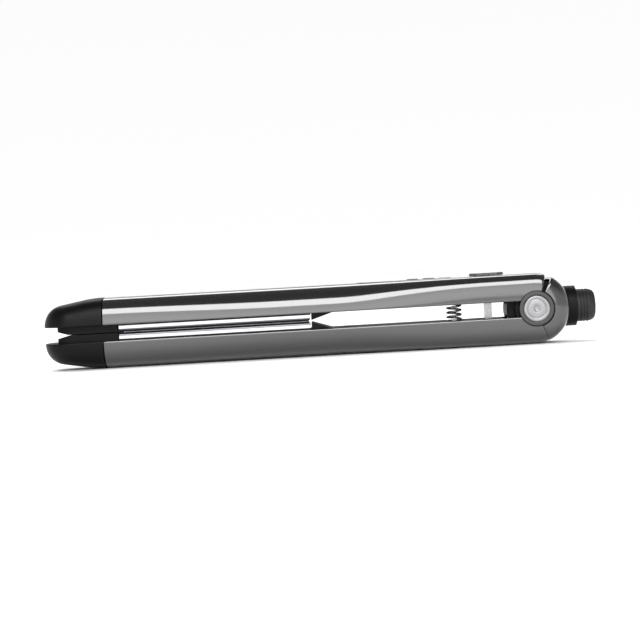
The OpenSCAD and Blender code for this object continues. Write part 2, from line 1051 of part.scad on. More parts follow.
module swivel_slip_rings() {
    color([0.8, 0.62, 0.3]) at_axis() {
        for (x = ring_starts) {
            difference() {
                rod_x(ring_r, x, x + ring_w);
                rod_x(stem_front_r + 0.02, x - 1, x + ring_w + 1);
            }
        }
    }
}

// One contact over the front ring and one under the rear ring, each on a post
module swivel_contacts() {
    color([0.8, 0.62, 0.3]) at_axis() {
        low = ring_r + ring_gap;
        block([ring_starts[0], -1.5, low], [ring_starts[0] + ring_w, 1.5, low + 0.5]);
        block([ring_starts[0] + 0.3, -0.8, low + 0.4], [ring_starts[0] + 1.3, 0.8, cavity_r - 0.1]);
        block([ring_starts[1], -1.5, -low - 0.5], [ring_starts[1] + ring_w, 1.5, -low]);
        block([ring_starts[1] + 0.3, -0.8, 0.1 - cavity_r], [ring_starts[1] + 1.3, 0.8, -low - 0.4]);
    }
}

module swivel_retainer() {
    color([0.2, 0.2, 0.2]) at_axis() difference() {
        rod_x(retainer_r - 0.02, retainer_start, nozzle_end);
        rod_x(stem_r + running_clearance, retainer_start - 1, length);
    }
}

// ---- controls ----

module control_panel() {
    color([0.14, 0.14, 0.15]) on_arm(true) difference() {
        translate([0, 0, inner_crown]) linear_extrude(wall) panel_outline(0);
        block(
            [window_start - fit, -window_half - fit, arm_height - window_thick - 0.05],
            [window_end + fit, window_half + fit, far]
        );
        block(
            [window_start + window_hole_inset, window_hole_inset - window_half, 0],
            [window_end - window_hole_inset, window_half - window_hole_inset, far]
        );
        for (x = [down_x, up_x, power_x]) {
            translate([x, 0, 0]) cylinder(r = button_r + button_fit, h = far, $fn = round_fn);
        }
        translate([lens_x, lens_y, 0]) cylinder(r = lens_r + 0.03, h = far, $fn = round_fn);
    }
}

module display_window() {
    color([0.02, 0.02, 0.03]) on_arm(true) block(
        [window_start, -window_half, arm_height - window_thick],
        [window_end, window_half, arm_height]
    );
}

module display_module() {
    color([0.35, 0.37, 0.38]) on_arm(true) block(
        [window_start + 1, -window_half - 1, board_high], [window_end - 1, window_half + 1, display_top]
    );
}

module indicator_lens() {
    color([0.8, 0.85, 0.9]) on_arm(true) translate([lens_x, lens_y, board_high + 0.6]) {
        cylinder(r = lens_r, h = arm_height + 0.1 - board_high - 0.6, $fn = round_fn);
    }
}

module main_board() {
    color([0.1, 0.35, 0.2]) on_arm(true) block(
        [board_start, -board_half, board_low], [board_end, board_half, board_high]
    );
}

// Smoothing capacitor, transformer and two switching parts, all under the board
module board_components() {
    color([0.2, 0.2, 0.35]) on_arm(true) {
        translate([0, 0, board_low - 2.9]) rod_x(2.3, 173, 185);
        block([188, -5.5, 7.4], [199, 5.5, board_low - 1.8]);
        block([189.5, -4, board_low - 1.8], [197.5, 4, board_low]);
        for (side = [-1, 1]) {
            block([202, side * 4 - 2.5, 10.2], [207, side * 4 + 2.5, board_low]);
        }
    }
}

module tact_switches() {
    color([0.15, 0.15, 0.15]) on_arm(true) {
        for (x = [down_x, up_x, power_x]) {
            block(
                [x - switch_size / 2, -switch_size / 2, board_high],
                [x + switch_size / 2, switch_size / 2, switch_top]
            );
        }
    }
}

module push_button(x) {
    translate([x, 0, 0]) {
        translate([0, 0, button_flange_low]) {
            cylinder(r = button_flange_r, h = button_flange_high - button_flange_low, $fn = round_fn);
        }
        translate([0, 0, button_flange_low]) {
            cylinder(r = button_r, h = arm_height + button_proud - button_flange_low, $fn = round_fn);
        }
    }
}

module power_button() {
    color([0.5, 0.5, 0.52]) on_arm(true) push_button(power_x);
}

module temp_up_button() {
    color([0.2, 0.2, 0.2]) on_arm(true) push_button(up_x);
}

module temp_down_button() {
    color([0.2, 0.2, 0.2]) on_arm(true) push_button(down_x);
}

module lock_knob() {
    first = (knob_start + knob_end) / 2 - (knob_ridges - 1) / 2 * knob_ridge_pitch;
    color([0.2, 0.2, 0.2]) on_arm(true) difference() {
        intersection() {
            block([knob_start, -knob_half, knob_low], [knob_end, knob_half, knob_top]);
            translate([0, 0, knob_low - 1]) linear_extrude(far) union() {
                translate([knob_start + knob_half, -knob_half]) {
                    square([knob_end - knob_start - 2 * knob_half, 2 * knob_half]);
                }
                disc_at(knob_half, knob_start + knob_half, 0);
                disc_at(knob_half, knob_end - knob_half, 0);
            }
        }
        for (i = [0 : knob_ridges - 1]) {
            x = first + i * knob_ridge_pitch;
            block([x - 0.4, -far, knob_top - 0.4], [x + 0.4, far, far]);
        }
        block([stem_start - 0.05, -stem_half - 0.05, 0], [stem_end + 0.05, stem_half + 0.05, stem_top + 0.05]);
    }
}

module lock_hook() {
    color([0.7, 0.7, 0.7]) on_arm(true) union() {
        block([stem_start, -stem_half, foot_low], [stem_end, stem_half, stem_top]);
        block([foot_start, -stem_half, foot_low], [stem_end, stem_half, foot_high]);
        block(
            [foot_start, -lock_flange_half, lock_flange_low],
            [stem_end + 3, lock_flange_half, lock_flange_high]
        );
    }
}

lower_shell();
lower_tip();
lower_plate_frame();
lower_handle_cover();
lower_insulator();
lower_float_pads();
lower_leads();
lower_screws();
thermal_fuse();
lower_plate();
lower_heater();
lower_heater_clip();
lower_thermistor();
upper_shell();
upper_tip();
upper_plate_frame();
upper_handle_cover();
upper_insulator();
upper_float_pads();
upper_leads();
upper_screws();
upper_plate();
upper_heater();
upper_heater_clip();
upper_thermistor();
hinge_core();
core_screws();
tail_housing();
hinge_pin();
hinge_washers();
hinge_bracket();
bracket_screws();
hinge_bushes();
hinge_caps();
opening_spring();
hinge_leads();
swivel_gland();
swivel_slip_rings();
swivel_contacts();
swivel_retainer();
control_panel();
display_window();
display_module();
indicator_lens();
main_board();
board_components();
tact_switches();
power_button();
temp_up_button();
temp_down_button();
lock_knob();
lock_hook();
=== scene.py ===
"""Looks for the flat iron: smooth shells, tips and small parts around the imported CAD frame."""

import json
import math

import bmesh
import bpy
from mathutils import Matrix, Vector

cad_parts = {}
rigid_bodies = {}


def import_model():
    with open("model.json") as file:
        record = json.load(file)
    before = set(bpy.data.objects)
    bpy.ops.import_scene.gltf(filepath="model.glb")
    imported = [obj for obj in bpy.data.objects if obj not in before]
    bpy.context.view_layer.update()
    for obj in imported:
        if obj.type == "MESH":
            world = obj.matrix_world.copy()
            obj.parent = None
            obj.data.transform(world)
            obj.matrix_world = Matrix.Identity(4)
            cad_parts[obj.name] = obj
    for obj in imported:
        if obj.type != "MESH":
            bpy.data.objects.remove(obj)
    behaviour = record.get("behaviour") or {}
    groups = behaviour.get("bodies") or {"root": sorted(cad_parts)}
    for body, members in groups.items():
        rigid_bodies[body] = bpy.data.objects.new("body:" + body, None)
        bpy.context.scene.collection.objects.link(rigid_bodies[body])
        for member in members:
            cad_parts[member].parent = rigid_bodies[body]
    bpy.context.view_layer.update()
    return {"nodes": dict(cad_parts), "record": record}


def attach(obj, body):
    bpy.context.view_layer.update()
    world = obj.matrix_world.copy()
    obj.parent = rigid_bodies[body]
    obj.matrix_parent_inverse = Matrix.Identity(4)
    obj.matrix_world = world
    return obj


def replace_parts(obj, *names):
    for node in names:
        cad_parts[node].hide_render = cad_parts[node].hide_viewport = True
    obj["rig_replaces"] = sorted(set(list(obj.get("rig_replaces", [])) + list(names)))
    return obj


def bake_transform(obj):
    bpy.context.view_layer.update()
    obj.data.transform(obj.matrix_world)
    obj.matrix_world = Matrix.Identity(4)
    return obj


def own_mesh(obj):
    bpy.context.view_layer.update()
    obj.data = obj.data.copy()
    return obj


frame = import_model()

MM = 0.001

# Main sizes, in mm. In an arm's own frame u is the distance from the tips, t the distance
# outwards from the plane where the plates meet, and y runs across.
LENGTH = 290.0
MID = 18.5                  # height of the plane where the plates meet, and an arm's thickness
HALF = 17.5                 # half the width at the plates
TAIL_HALF = 14.5            # half the width at the hinge
TAPER_START = 155.0
HINGE_U = 258.0
RIM = 4.25                  # where the rim of a shell or a tip lies
TIP_END = 32.0
SHELL_START = 32.3
SIDE_WALL = 1.9
CROWN_WALL = 1.5
OUTSIDE = 20.0              # past the skin, on every side

# The nose of a tip: its side view is an arc, then a slope; its plan has rounded corners.
NOSE_R, NOSE_T, NOSE_SLOPE, NOSE_PLAN = 11.0, 4.7, 10.0, 14.0
NOSE_LENGTH = 26.0
BLOCK_START = 7.7           # where the plate frame's nose block begins
BLOCK_INSET = 4.05

# Openings in the upper shell for the control panel and for the lock knob.
PANEL_START, PANEL_END, PANEL_HALF = 164.0, 218.0, 6.15
KNOB_START, KNOB_END, KNOB_HALF = 227.4, 236.6, 2.2

# A plate's face ends where its rim starts, and its rim ends where its skirt starts.
PLATE_START, PLATE_END = 40.0, 140.0
PLATE_RIM_START, PLATE_RIM_END = 1.84, 3.4
PLATE_STEP = 3.15           # flat faces past this height are the step at the skirt

# The shells' round cuts for the hinge: their radius, and where they start across.
HUB_HOLE, HUB_FACE = 9.4, 11.15
NOZZLE_HOLE = 10.75         # radius of the hole in the tail for the swivel
SPRING_U = 216.0
MARK_LOW, MARK_TOP = 18.6, 18.79

UPPER, LOWER = 1, -1
ARM = {UPPER: "upper", LOWER: "lower"}
BODY = {UPPER: "upper_arm", LOWER: "lower_arm"}

# Angles in degrees, and the number of sides of a round cut.
SHARP = 32.0                # edges that turn more than this stay sharp
BEVEL_FROM = 40.0           # edges that turn more than this are rounded
FLAT = 0.4                  # faces that turn less than this become one
CUT_STEPS = 96


# ---------------------------------------------------------------- small maths

def ease(x):
    """0 below 0, 1 above 1, and a smooth step between."""
    x = min(max(x, 0.0), 1.0)
    return x * x * (3 - 2 * x)


def soft_ramp(x, width):
    """max(x, 0) with the corner rounded over the given width."""
    if x <= -width:
        return 0.0
    if x >= width:
        return x
    return (x + width) ** 2 / (4 * width)


def place(side, u, y, t):
    """From an arm's own frame in mm to the row frame in metres."""
    return Vector(((u - LENGTH / 2) * MM, y * MM, (MID + side * t) * MM))


def resample(points, count):
    """The same polyline with a given number of evenly spaced points."""
    lengths = [0.0]
    for a, b in zip(points, points[1:]):
        lengths.append(lengths[-1] + math.hypot(b[0] - a[0], b[1] - a[1]))
    out, k = [], 0
    for i in range(count):
        goal = lengths[-1] * i / (count - 1)
        while k < len(points) - 2 and lengths[k + 1] < goal:
            k += 1
        span = lengths[k + 1] - lengths[k] or 1e-9
        f = min(max((goal - lengths[k]) / span, 0.0), 1.0)
        a, b = points[k], points[k + 1]
        out.append((a[0] + (b[0] - a[0]) * f, a[1] + (b[1] - a[1]) * f))
    return out


def crown_curve(half, height, power, low, count):
    """Right to left over the crown of a superellipse, down to a height on each side."""
    start = math.asin(min(max(low / height, 0.0), 0.9999) ** (power / 2))
    dense, steps = [], 200
    for i in range(steps + 1):
        a = start + (math.pi / 2 - start) * i / steps
        dense.append((half * math.cos(a) ** (2 / power), height * math.sin(a) ** (2 / power)))
    dense[-1] = (0.0, height)
    right = resample(dense, count)
    return right + [(-y, t) for y, t in reversed(right[:-1])]


def soften(points, radius, steps, closed=True):
    """Rounds the corners of a 2-D polyline."""
    out, n = [], len(points)
    for i, p in enumerate(points):
        if not closed and i in (0, n - 1):
            out.append(p)
            continue
        p = Vector(p)
        a, b = Vector(points[i - 1]) - p, Vector(points[(i + 1) % n]) - p
        cut = min(radius, 0.45 * a.length, 0.45 * b.length)
        if cut < 1e-4:
            out.append(tuple(p))
            continue
        a, b = p + a.normalized() * cut, p + b.normalized() * cut
        for s in range(steps + 1):
            f = s / steps
            q = a * (1 - f) ** 2 + p * 2 * f * (1 - f) + b * f * f
            out.append(tuple(q))
    return out


# ---------------------------------------------------------------- mesh helpers

def new_object(name, bm, sharp=SHARP):
    """A mesh object from a bmesh, smooth but for edges sharper than an angle."""
    bmesh.ops.recalc_face_normals(bm, faces=bm.faces)
    mark_sharp(bm, sharp)
    mesh = bpy.data.meshes.new(name)
    bm.to_mesh(mesh)
    bm.free()
    obj = bpy.data.objects.new(name, mesh)
    bpy.context.scene.collection.objects.link(obj)
    return obj


def mark_sharp(bm, sharp):
    """Smooth faces, with every edge that turns more than an angle kept sharp."""
    for f in bm.faces:
        f.smooth = True
    for e in bm.edges:
        e.smooth = len(e.link_faces) == 2 and e.calc_face_angle(0) < math.radians(sharp)


def skin(bm, rings, ring_shaped=False):
    """Adds a closed skin through rings of points that all have the same count."""
    rows = [[bm.verts.new(p) for p in ring] for ring in rings]
    count = len(rows[0])
    pairs = list(zip(rows, rows[1:]))
    if ring_shaped:
        pairs.append((rows[-1], rows[0]))
    for a, b in pairs:
        for i in range(count):
            j = (i + 1) % count
            bm.faces.new((a[i], a[j], b[j], b[i]))
    if not ring_shaped:
        bm.faces.new(rows[0])
        bm.faces.new(list(reversed(rows[-1])))


def loft(rings, ring_shaped=False):
    """A new skin, with no doubled points and no loose edges."""
    bm = bmesh.new()
    skin(bm, rings, ring_shaped)
    bmesh.ops.remove_doubles(bm, verts=bm.verts, dist=1e-6)
    loose = [e for e in bm.edges if not e.link_faces]
    bmesh.ops.delete(bm, geom=loose, context="EDGES")
    return bm


def lathe(name, profile, origin, axis, segments):
    """Turns a closed profile of (radius, height) in mm round an axis through a point."""
    axis = Vector(axis).normalized()
    side = axis.orthogonal().normalized()
    other = axis.cross(side)
    rings = []
    for s in range(segments):
        a = 2 * math.pi * s / segments
        out = side * math.cos(a) + other * math.sin(a)
        rings.append([origin + (axis * h + out * r) * MM for r, h in profile])
    return new_object(name, loft(rings, ring_shaped=True))


def prism(outline, low, high, side):
    """A cutter: an outline of (u, y) between two heights of an arm."""
    rings = [[place(side, u, y, t) for u, y in outline] for t in (low, high)]
    return loft(rings)


def cut(obj, bm):
    """Takes a bmesh away from an object."""
    bmesh.ops.recalc_face_normals(bm, faces=bm.faces)
    mesh = bpy.data.meshes.new("cutter")
    bm.to_mesh(mesh)
    bm.free()
    cutter = bpy.data.objects.new("cutter", mesh)
    bpy.context.scene.collection.objects.link(cutter)
    mod = obj.modifiers.new("cut", "BOOLEAN")
    mod.operation, mod.solver, mod.object = "DIFFERENCE", "EXACT", cutter
    settle(obj)
    bpy.data.objects.remove(cutter)
    bpy.data.meshes.remove(mesh)


def settle(obj):
    """Applies the modifiers."""
    bpy.context.view_layer.update()
    ready = obj.evaluated_get(bpy.context.evaluated_depsgraph_get())
    mesh = bpy.data.meshes.new_from_object(ready)
    old = obj.data
    obj.modifiers.clear()
    obj.data = mesh
    mesh.name = obj.name
    bpy.data.meshes.remove(old)


def round_edges(obj, bevel, segments, split):
    """Merges flat areas, rounds the hard edges, and splits faces where a level is given."""
    bm = bmesh.new()
    bm.from_mesh(obj.data)
    bmesh.ops.remove_doubles(bm, verts=bm.verts, dist=3e-6)
    bmesh.ops.dissolve_limit(
        bm, angle_limit=math.radians(FLAT), verts=bm.verts, edges=bm.edges
    )
    hard = [
        e for e in bm.edges
        if len(e.link_faces) == 2 and e.calc_face_angle(0) > math.radians(BEVEL_FROM)
    ]
    bmesh.ops.bevel(
        bm, geom=hard, offset=bevel * MM, segments=segments, profile=0.5,
        affect="EDGES", clamp_overlap=False, miter_outer="ARC",
    )
    bmesh.ops.remove_doubles(bm, verts=bm.verts, dist=3e-6)
    bmesh.ops.dissolve_degenerate(bm, edges=bm.edges, dist=1e-6)
    if split is not None:
        everything = [*bm.verts, *bm.edges, *bm.faces]
        bmesh.ops.bisect_plane(bm, geom=everything, plane_co=split, plane_no=(0, 0, 1))
    smooth(obj, bm)


def finish_cut(obj):
    """Cleans up after the cutters."""
    bm = bmesh.new()
    bm.from_mesh(obj.data)
    bmesh.ops.remove_doubles(bm, verts=bm.verts, dist=2e-6)
    bmesh.ops.dissolve_degenerate(bm, edges=bm.edges, dist=1e-6)
    smooth(obj, bm)


def smooth(obj, bm):
    """Back to the object, with normals that keep flat faces flat beside rounded edges."""
    bmesh.ops.triangulate(bm, faces=[f for f in bm.faces if len(f.verts) > 4])
    mark_sharp(bm, SHARP)
    bm.to_mesh(obj.data)
    bm.free()
    mod = obj.modifiers.new("weigh", "WEIGHTED_NORMAL")
    mod.keep_sharp = True
    mod.weight = 60
    settle(obj)


def heading(path, i):
    """The direction of a path at one of its points."""
    return (path[min(i + 1, len(path) - 1)] - path[max(i - 1, 0)]).normalized()


def circle(centre, a, b, radius, sides):
    """Points in metres of a circle given in mm, in the plane of two directions."""
    ring = []
    for s in range(sides):
        turn = 2 * math.pi * s / sides
        ring.append((centre + (a * math.cos(turn) + b * math.sin(turn)) * radius) * MM)
    return ring


def smooth_path(points, steps):
    """A Catmull-Rom curve through the points."""
    out = []
    for i in range(len(points) - 1):
        p0 = points[max(i - 1, 0)]
        p1, p2 = points[i], points[i + 1]
        p3 = points[min(i + 2, len(points) - 1)]
        for s in range(steps):
            f = s / steps
            out.append(0.5 * (2 * p1 + (p2 - p0) * f + (2 * p0 - 5 * p1 + 4 * p2 - p3) * f * f
                              + (3 * p1 - p0 - 3 * p2 + p3) * f ** 3))
    out.append(points[-1])
    return out


# ---------------------------------------------------------------- materials

def set_stops(node, stops):
    """Sets a ramp node's stops, each (position, colour or grey level)."""
    items = node.color_ramp.elements
    while len(items) < len(stops):
        items.new(0.5)
    for item, (at, colour) in zip(items, stops):
        item.position = at
        if isinstance(colour, (int, float)):
            colour = (colour, colour, colour)
        item.color = (*colour, 1.0)


class Maker:
    """Builds one node material step by step."""

    def __init__(self, name):
        self.material = bpy.data.materials.new(name)
        self.material.use_nodes = True
        self.tree = self.material.node_tree
        self.tree.nodes.clear()
        self.out = self.node("ShaderNodeOutputMaterial")
        self.shader = self.node("ShaderNodeBsdfPrincipled")
        self.link(self.shader.outputs["BSDF"], self.out.inputs["Surface"])
        coords = self.node("ShaderNodeTexCoord")
        self.place = coords.outputs["Object"]

    def node(self, kind, **values):
        """A new node. Each value goes to the socket of that name, or else to the setting."""
        n = self.tree.nodes.new(kind)
        for key, value in values.items():
            if key in n.inputs:
                n.inputs[key].default_value = value
            else:
                setattr(n, key, value)
        return n

    def link(self, a, b):
        self.tree.links.new(a, b)

    def fixed(self, **values):
        """Constants straight on the shader's sockets."""
        for key, value in values.items():
            self.shader.inputs[key.replace("_", " ")].default_value = value
        return self

    def mapped(self, scale=(1, 1, 1), shift=(0, 0, 0)):
        m = self.node("ShaderNodeMapping")
        m.inputs["Scale"].default_value = scale
        m.inputs["Location"].default_value = shift
        self.link(self.place, m.inputs["Vector"])
        return m.outputs["Vector"]

    def noise(self, scale, detail=3.0, stretch=(1, 1, 1), rough=0.5):
        n = self.node("ShaderNodeTexNoise", Scale=scale, Detail=detail, Roughness=rough)
        self.link(self.mapped(stretch), n.inputs["Vector"])
        return n.outputs["Fac"]

    def ramp(self, value, stops):
        r = self.node("ShaderNodeValToRGB")
        set_stops(r, stops)
        self.link(value, r.inputs["Fac"])
        return r.outputs["Color"]

    def colour(self, value, dark, light, low=0.3, high=0.7):
        self.link(self.ramp(value, [(low, dark), (high, light)]),
                  self.shader.inputs["Base Color"])
        return self

    def rough(self, value, low, high):
        r = self.node("ShaderNodeMapRange")
        r.inputs["From Min"].default_value = 0.25
        r.inputs["From Max"].default_value = 0.75
        r.inputs["To Min"].default_value = low
        r.inputs["To Max"].default_value = high
        self.link(value, r.inputs["Value"])
        self.link(r.outputs["Result"], self.shader.inputs["Roughness"])
        return self

    def bumps(self, *layers):
        """Each layer is (height value, depth in mm)."""
        normal = None
        for value, depth in layers:
            b = self.node("ShaderNodeBump", Strength=1.0, Distance=depth * MM)
            self.link(value, b.inputs["Height"])
            if normal is not None:
                self.link(normal, b.inputs["Normal"])
            normal = b.outputs["Normal"]
        self.link(normal, self.shader.inputs["Normal"])
        return self


def tint(colour, factor):
    return tuple(min(c * factor, 1.0) for c in colour)


def gloss(name, base, coat=1.0, rough=(0.10, 0.16), wave=0.012, ior=1.7):
    """Lacquered hard plastic with a faint unevenness."""
    m = Maker(name)
    broad = m.noise(70, 2)
    m.colour(m.noise(2400, 3), tint(base, 0.92), tint(base, 1.10))
    m.rough(m.noise(260, 4, rough=0.6), *rough)
    m.bumps((broad, wave), (m.noise(1500, 2), 0.0006))
    m.fixed(IOR=ior, Coat_Weight=coat, Coat_Roughness=0.07, Coat_IOR=1.5)
    return m.material


def moulded(name, base, rough, grain, depth, ior=1.5, level=0.5):
    """Moulded plastic with a fine spark-eroded grain."""
    m = Maker(name)
    m.colour(m.noise(1700, 3), tint(base, 0.85), tint(base, 1.2))
    m.rough(m.noise(340, 4), *rough)
    m.bumps((m.noise(grain, 3, rough=0.65), depth), (m.noise(grain / 12, 2), depth * 0.25))
    m.fixed(IOR=ior, Specular_IOR_Level=level)
    return m.material


def metal(name, base, rough, lines, grain, depth=0.0015, spread=0.18):
    """Metal with drawn or brushed lines."""
    m = Maker(name)
    streak = m.noise(grain, 5, stretch=lines, rough=0.65)
    m.colour(streak, tint(base, 1 - spread), tint(base, 1 + spread * 0.6))
    m.rough(m.noise(grain * 0.8, 4, stretch=lines), *rough)
    m.bumps((streak, depth))
    m.fixed(Metallic=1.0)
    return m.material


def make_materials():
    """One material for each slot in the record."""
    made = {}
    made["gloss_shell"] = gloss("gloss_black", (0.0065, 0.0065, 0.0072))
    made["tip_plastic"] = moulded(
        "tip_black", (0.0020, 0.0020, 0.0022), (0.36, 0.44), 3200, 0.005, 1.45, 0.16)
    made["frame_plastic"] = moulded(
        "frame_black", (0.0022, 0.0022, 0.0024), (0.4, 0.52), 2400, 0.008, 1.45, 0.15)
    made["cover_plastic"] = moulded(
        "cover_black", (0.006, 0.006, 0.0063), (0.5, 0.62), 1900, 0.022, 1.48, 0.4)
    made["plate_metal"] = metal(
        "plate_titanium", (0.60, 0.59, 0.61), (0.16, 0.22), (0.5, 12, 12), 60, 0.0003, 0.06)
    made["spring_steel"] = metal("bright_steel", (0.32, 0.32, 0.33), (0.2, 0.32), (30, 30, 6), 60)
    made["screw_steel"] = metal("zinc_steel", (0.42, 0.43, 0.45), (0.28, 0.42), (1, 1, 1), 900)
    made["cap_metal"] = spun("satin_chrome", (0.30, 0.30, 0.31))
    made["brass"] = metal("brass", (0.70, 0.50, 0.22), (0.24, 0.42), (1, 1, 1), 420, 0.001, 0.22)
    made["bracket_steel"] = moulded(
        "coated_steel", (0.017, 0.017, 0.018), (0.28, 0.38), 900, 0.010, 1.6)
    made["ceramic"] = moulded("ceramic_white", (0.78, 0.76, 0.71), (0.62, 0.74), 1500, 0.010)
    made["silicone"] = moulded("silicone_red", (0.42, 0.065, 0.03), (0.5, 0.6), 1200, 0.006, 1.43)
    made["mica"] = flaky("mica_sheet")
    made["wire_sleeve"] = woven("glass_sleeve")
    made["epoxy"] = gloss("epoxy_bead", (0.03, 0.03, 0.06), 0.4, (0.2, 0.3), 0.01, 1.5)
    made["nylon"] = moulded("nylon_white", (0.66, 0.66, 0.62), (0.4, 0.52), 1500, 0.006)
    made["swivel_rubber"] = moulded(
        "rubber_black", (0.008, 0.008, 0.008), (0.5, 0.62), 2200, 0.014, 1.5, 0.4)
    made["panel_plastic"] = gloss(
        "panel_black", (0.011, 0.011, 0.0125), 0.5, (0.24, 0.32), 0.004, 1.5)
    made["dark_glass"] = gloss(
        "smoked_acrylic", (0.003, 0.003, 0.0036), 1.0, (0.05, 0.09), 0.002, 1.5)
    made["display_body"] = moulded("display_potting", (0.26, 0.28, 0.29), (0.5, 0.6), 900, 0.02)
    made["lens"] = moulded("frosted_lens", (0.34, 0.37, 0.38), (0.25, 0.34), 1800, 0.004, 1.49)
    made["board"] = board("solder_resist")
    made["components"] = moulded("component_black", (0.035, 0.035, 0.06), (0.4, 0.55), 1500, 0.01)
    made["button_plastic"] = moulded(
        "button_grey", (0.055, 0.055, 0.059), (0.28, 0.36), 3200, 0.004)
    made["power_plastic"] = gloss(
        "button_silver", (0.36, 0.36, 0.38), 0.6, (0.26, 0.34), 0.003, 1.5)
    return made


def spun(name, base):
    """Satin metal turned round the hinge axis."""
    m = Maker(name)
    centre = ((HINGE_U - LENGTH / 2) * MM, 0, MID * MM)
    wave = m.node("ShaderNodeTexWave", Scale=900, Distortion=1.2, Detail=3)
    wave.wave_type, wave.rings_direction = "RINGS", "Y"
    m.link(m.mapped(shift=[-c for c in centre]), wave.inputs["Vector"])
    m.colour(wave.outputs["Fac"], tint(base, 0.86), tint(base, 1.06))
    m.rough(m.noise(500, 4), 0.2, 0.3)
    m.bumps((wave.outputs["Fac"], 0.0015))
    m.fixed(Metallic=1.0)
    return m.material


def flaky(name):
    """Pressed mica flakes."""
    m = Maker(name)
    cells = m.node("ShaderNodeTexVoronoi", Scale=420)
    m.link(m.mapped((1, 1, 3)), cells.inputs["Vector"])
    m.colour(m.noise(300, 5), (0.42, 0.36, 0.22), (0.68, 0.62, 0.46))
    m.rough(cells.outputs["Distance"], 0.3, 0.6)
    m.bumps((cells.outputs["Distance"], 0.02))
    return m.material


def woven(name):
    """Braided glass-fibre sleeve."""
    m = Maker(name)
    braids = []
    for turn in (0.7, -0.7):
        wave = m.node("ShaderNodeTexWave", Scale=1500, Distortion=0.6)
        wave.bands_direction = "DIAGONAL"
        m.link(m.mapped((1, 1, turn)), wave.inputs["Vector"])
        braids.append(wave.outputs["Fac"])
    mix = m.node("ShaderNodeMath", operation="MAXIMUM")
    m.link(braids[0], mix.inputs[0])
    m.link(braids[1], mix.inputs[1])
    m.colour(mix.outputs["Value"], (0.50, 0.48, 0.40), (0.80, 0.78, 0.70))
    m.rough(m.noise(700, 3), 0.6, 0.75)
    m.bumps((mix.outputs["Value"], 0.04))
    return m.material


def board(name):
    """Green solder resist with copper tracks that show through."""
    m = Maker(name)
    tracks = m.node("ShaderNodeTexBrick", Scale=220)
    tracks.inputs["Mortar Size"].default_value = 0.06
    m.link(m.mapped((1, 1, 0.01)), tracks.inputs["Vector"])
    m.colour(tracks.outputs["Fac"], (0.012, 0.10, 0.045), (0.05, 0.24, 0.10), 0.2, 0.8)
    m.rough(m.noise(600, 3), 0.25, 0.35)
    m.bumps((tracks.outputs["Fac"], 0.02))
    m.fixed(Coat_Weight=0.4, Coat_Roughness=0.12)
    return m.material


MATERIALS = make_materials()
# Painted shade: the plate's skirt is coloured near black to stand for the shade under the shell's
# rim.
PLATE_SKIRT_SHADE = metal("plate_skirt_painted_shade", (0.02, 0.02, 0.021), (0.4, 0.55), (0.5, 40, 40), 60, 0.001)
PLATE_COAT = metal(
    "plate_coat", (0.115, 0.115, 0.125), (0.10, 0.15), (0.5, 10, 10), 60, 0.0002, 0.08)


def dress(obj, slot_name, body=None, nodes=(), blend=None):
    """Gives a piece its finish, its body and the CAD nodes it stands for."""
    obj.data.materials.clear()
    obj.data.materials.append(MATERIALS[slot_name])
    if nodes:
        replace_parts(obj, *nodes)
    if blend:
        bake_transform(obj)
    else:
        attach(obj, body)
    return obj


def refined(node, body, slot_name, bevel, segments=2, split=None):
    """A copy of a CAD node with its edges rounded."""
    mesh = frame["nodes"][node].data.copy()
    obj = bpy.data.objects.new(node + "_piece", mesh)
    bpy.context.scene.collection.objects.link(obj)
    round_edges(obj, bevel, segments, split)
    return dress(obj, slot_name, body, (node,))


# ---------------------------------------------------------------- shells and tips

def half_at(u):
    """Half the arm's width at a distance from the tips, behind the tip."""
    slope = (HALF - TAIL_HALF) / (HINGE_U - TAPER_START)
    return HALF - slope * soft_ramp(min(u, HINGE_U) - TAPER_START, 14)


def power_at(u):
    """The section is round at the plates, and squarer at the tips and at the hinge."""
    return 3.3 - 0.5 * ease((u - TIP_END) / 90) + 2.2 * ease((u - TAPER_START) / 80)


def shell_section(half, height, power, trim):
    """Closed C-section of a shell: outer skin, rounded rim, inner skin."""
    outer = crown_curve(half - trim, height - trim, power, RIM + 0.6, 30)
    inner = crown_curve(half - SIDE_WALL, height - CROWN_WALL, power + 0.5, RIM + 0.3, 18)
    edge, lip = outer[0][0], inner[0][0]
    right = [(edge - 0.03, RIM + 0.35), (edge - 0.14, RIM + 0.14), (edge - 0.35, RIM + 0.02),
             (edge - 0.6, RIM), (lip + 0.25, RIM), (lip + 0.08, RIM + 0.08)]
    left = [(-y, t) for y, t in right]
    return outer + left + list(reversed(inner)) + list(reversed(right))


def shell(side):
    """An arm's glossy shell, straight to the hinge and then turned a little about it."""
    stations = [(SHELL_START, 0.3), (SHELL_START + 0.08, 0.14), (SHELL_START + 0.3, 0.0)]
    u, step = 35.0, 2.7
    while u < HINGE_U - 0.5:
        stations.append((u, 0.0))
        u += step
    rings = [
        [place(side, u, y, t) for y, t in shell_section(half_at(u), MID, power_at(u), trim)]
        for u, trim in stations
    ]
    last_lean, steps = 18.0, 9
    for i in range(steps + 1):
        lean = last_lean * i / steps
        trim = 0.0 if i < steps else 0.25
        s, c = math.sin(math.radians(lean)), math.cos(math.radians(lean))
        section = shell_section(TAIL_HALF, MID, power_at(HINGE_U), trim)
        rings.append([place(side, HINGE_U + t * s, y, t * c) for y, t in section])
    obj = new_object(ARM[side] + "_shell_skin", loft(rings))
    for way in (1, -1):
        cut(obj, disc_cutter(HUB_HOLE, HUB_FACE * way, OUTSIDE * way))
    if side == UPPER:
        slot = [(KNOB_START, -KNOB_HALF), (KNOB_END, -KNOB_HALF),
                (KNOB_END, KNOB_HALF), (KNOB_START, KNOB_HALF)]
        for outline in (stadium(PANEL_START, PANEL_END, PANEL_HALF), slot):
            cut(obj, prism(outline, 14.0, OUTSIDE, side))
    finish_cut(obj)
    return dress(obj, "gloss_shell", BODY[side], (ARM[side] + "_shell",))


